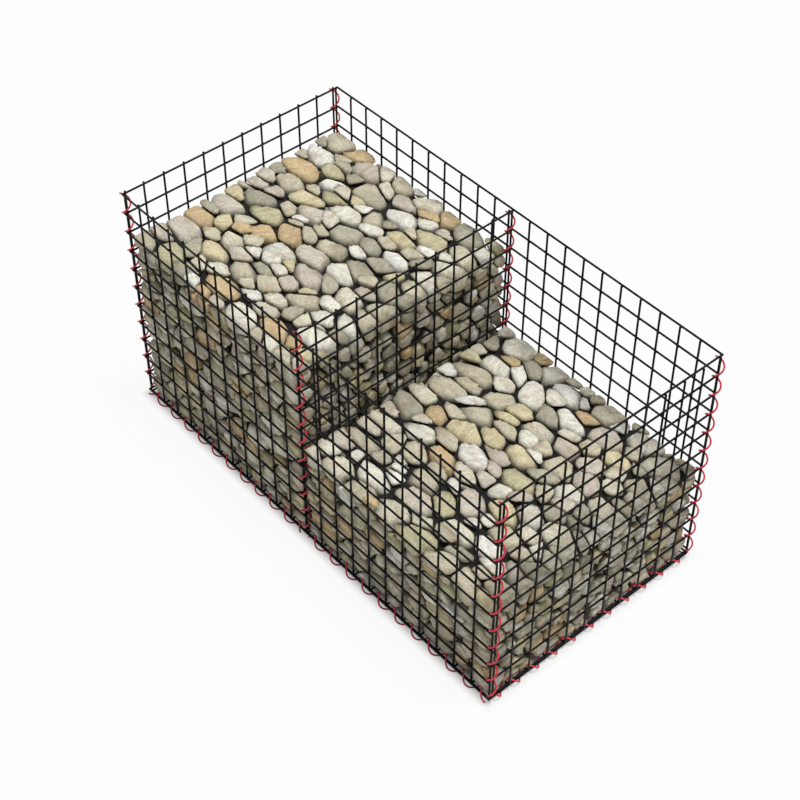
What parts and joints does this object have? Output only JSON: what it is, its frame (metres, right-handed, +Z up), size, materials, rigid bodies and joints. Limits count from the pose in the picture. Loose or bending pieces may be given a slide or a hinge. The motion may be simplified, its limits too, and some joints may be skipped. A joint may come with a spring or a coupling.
{
  "type": "gabion wall",
  "caption": "Stone-filled gabion: an open-topped welded-mesh basket in two cells with a diaphragm, laced with spiral binders and filled to two levels.",
  "frame": {"origin": "under the middle of the basket, level with the lowest turn of the bottom spiral binders", "axes": "+X along the basket from the fuller cell to the half-filled cell, +Y from front to back, +Z up"},
  "size_m": [2.052, 1.0526, 1.0345],
  "materials": {
    "mesh": "black polymer coat over steel wire",
    "binder": "red polymer coat over steel wire",
    "stone": "rounded quarry and river stone"
  },
  "bodies": {
    "root": {"front_panel": "mesh", "back_panel": "mesh", "left_end_panel": "mesh", "right_end_panel": "mesh", "diaphragm_panel": "mesh", "base_panel": "mesh", "spiral_front_left": "binder", "spiral_front_middle": "binder", "spiral_front_right": "binder", "spiral_back_left": "binder", "spiral_back_middle": "binder", "spiral_back_right": "binder", "spiral_base_front_left": "binder", "spiral_base_front_right": "binder", "spiral_base_back_left": "binder", "spiral_base_back_right": "binder", "spiral_base_left_end": "binder", "spiral_base_diaphragm": "binder", "spiral_base_right_end": "binder", "stone_fill_left": "stone", "stone_fill_right": "stone"}
  },
  "joints": []
}
